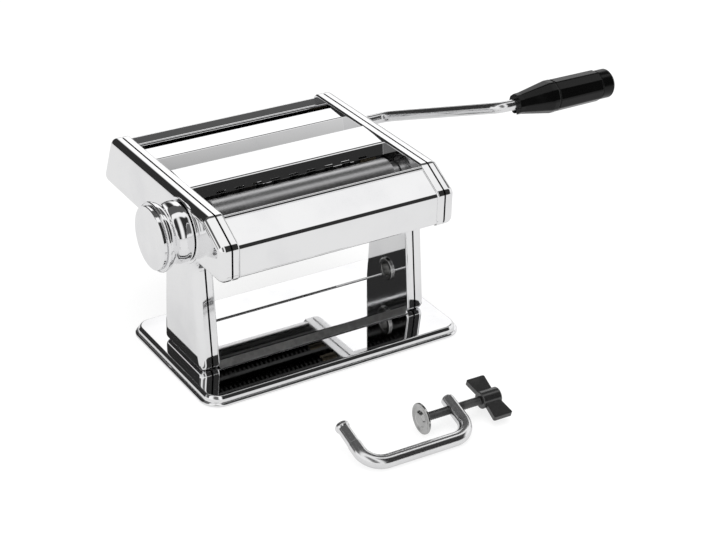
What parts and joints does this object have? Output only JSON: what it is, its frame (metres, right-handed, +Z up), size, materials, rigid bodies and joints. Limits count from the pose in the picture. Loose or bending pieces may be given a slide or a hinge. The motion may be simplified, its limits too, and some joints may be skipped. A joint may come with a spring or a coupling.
{
  "type": "pasta machine",
  "caption": "Chromed hand-cranked pasta machine with adjustable sheeting rollers, twin cutters, thickness dial, detachable crank and a loose table clamp.",
  "frame": {"origin": "centre of the base underside, on the table", "axes": "+X to the crank side, +Y away from the user towards the cutters, +Z up"},
  "size_m": [0.367, 0.303, 0.1662],
  "materials": {
    "chromed_steel": "mirror chrome plate",
    "polished_steel": "polished roller steel",
    "zinc_plated_steel": "zinc plated",
    "gear_steel": "machined and oiled",
    "bearing_bronze": "sintered bronze",
    "gloss_black_plastic": "gloss moulded",
    "satin_black_plastic": "satin moulded",
    "blackened_steel": "black oxide",
    "black_rubber": "matte"
  },
  "bodies": {
    "housing": {"base_plate": "chromed_steel", "rubber_strip": "black_rubber", "floor_plate": "chromed_steel", "foot_brackets": "zinc_plated_steel", "base_screws": "zinc_plated_steel", "base_nuts": "zinc_plated_steel", "left_inner_frame": "chromed_steel", "right_inner_frame": "chromed_steel", "left_outer_cover": "chromed_steel", "right_outer_cover": "chromed_steel", "front_cover": "chromed_steel", "center_plate": "chromed_steel", "ridge_cover": "chromed_steel", "rear_cover": "chromed_steel", "tie_rods": "zinc_plated_steel", "tie_rod_nuts": "zinc_plated_steel", "clamp_socket": "chromed_steel", "roller_scrapers": "zinc_plated_steel", "wide_combs": "zinc_plated_steel", "narrow_combs": "zinc_plated_steel", "drive_roller_bushes": "bearing_bronze", "cutter_bushes": "bearing_bronze", "dial_shaft_bush": "bearing_bronze", "shaft_end_cup": "bearing_bronze", "dial_index_ring": "chromed_steel", "detent_spring": "zinc_plated_steel", "detent_post": "zinc_plated_steel"},
    "drive_roller": {"drive_roller": "polished_steel", "drive_roller_gear": "gear_steel"},
    "dial": {"eccentric_shaft": "zinc_plated_steel", "detent_wheel": "zinc_plated_steel", "dial_knob": "chromed_steel", "dial_face": "chromed_steel", "dial_hub": "gloss_black_plastic", "dial_set_screw": "zinc_plated_steel"},
    "gauge_sleeve": {"gauge_sleeve": "bearing_bronze"},
    "gauge_roller": {"gauge_roller": "polished_steel", "gauge_roller_gear": "gear_steel"},
    "wide_drive": {"wide_drive_cutter": "polished_steel", "wide_drive_gear": "gear_steel"},
    "wide_mate": {"wide_mate_cutter": "polished_steel", "wide_mate_gear": "gear_steel"},
    "narrow_drive": {"narrow_drive_cutter": "polished_steel", "narrow_drive_gear": "gear_steel"},
    "narrow_mate": {"narrow_mate_cutter": "polished_steel", "narrow_mate_gear": "gear_steel"},
    "crank": {"crank_rod": "chromed_steel", "grip_retainer": "zinc_plated_steel"},
    "grip": {"grip_cone": "gloss_black_plastic", "grip_barrel": "gloss_black_plastic", "grip_cap": "gloss_black_plastic"},
    "clamp": {"clamp_bow": "chromed_steel"},
    "clamp_pad": {"clamp_pad": "zinc_plated_steel"},
    "clamp_screw": {"clamp_screw": "blackened_steel", "clamp_wing_knob": "satin_black_plastic"}
  },
  "joints": [
    {"name": "drive_roller_spin", "type": "hinge", "parent": "housing", "child": "drive_roller", "pos_m": [0, -0.0336, 0.1094], "axis": [1, 0, 0], "continuous": true},
    {"name": "dial_turn", "type": "hinge", "parent": "housing", "child": "dial", "pos_m": [0, -0.004, 0.1083], "axis": [1, 0, 0], "range_deg": [-60, 60]},
    {"name": "gauge_sleeve_turn", "type": "hinge", "parent": "dial", "child": "gauge_sleeve", "pos_m": [0, -0.004, 0.1098], "axis": [1, 0, 0], "range_deg": [-60, 60]},
    {"name": "gauge_roller_spin", "type": "hinge", "parent": "gauge_sleeve", "child": "gauge_roller", "pos_m": [0, -0.004, 0.1098], "axis": [1, 0, 0], "continuous": true},
    {"name": "wide_drive_spin", "type": "hinge", "parent": "housing", "child": "wide_drive", "pos_m": [0, 0.04055, 0.1085], "axis": [1, 0, 0], "continuous": true},
    {"name": "wide_mate_spin", "type": "hinge", "parent": "housing", "child": "wide_mate", "pos_m": [0, 0.05945, 0.1085], "axis": [1, 0, 0], "continuous": true},
    {"name": "narrow_drive_spin", "type": "hinge", "parent": "housing", "child": "narrow_drive", "pos_m": [0, 0.08305, 0.1115], "axis": [1, 0, 0], "continuous": true},
    {"name": "narrow_mate_spin", "type": "hinge", "parent": "housing", "child": "narrow_mate", "pos_m": [0, 0.10195, 0.1115], "axis": [1, 0, 0], "continuous": true},
    {"name": "crank_pull", "type": "slide", "parent": "narrow_drive", "child": "crank", "axis": [1, 0, 0], "range_m": [0, 0.04]},
    {"name": "grip_spin", "type": "hinge", "parent": "crank", "child": "grip", "pos_m": [0.2, -0.0248, 0.1542], "axis": [1, 0, 0], "continuous": true},
    {"name": "clamp_lift", "type": "slide", "parent": "housing", "child": "clamp", "axis": [0, 0, 1], "range_m": [0, 0.05]},
    {"name": "clamp_pad_slide", "type": "slide", "parent": "clamp", "child": "clamp_pad", "axis": [0.9996, -0.0279, 0], "range_m": [-0.0151, 0.0181]},
    {"name": "clamp_screw_turn", "type": "hinge", "parent": "clamp_pad", "child": "clamp_screw", "pos_m": [-0.04745, -0.1511, 0.01085], "axis": [0.9996, -0.0279, 0], "range_deg": [-3600, 4320]}
  ],
  "couplings": [
    {"joint": "gauge_sleeve_turn", "follows": "dial_turn", "ratio": -1},
    {"joint": "gauge_roller_spin", "follows": "drive_roller_spin", "ratio": -1},
    {"joint": "wide_mate_spin", "follows": "wide_drive_spin", "ratio": -1},
    {"joint": "narrow_mate_spin", "follows": "narrow_drive_spin", "ratio": -1},
    {"joint": "clamp_pad_slide", "follows": "clamp_screw_turn", "m_per_rad": 0.00023873}
  ]
}
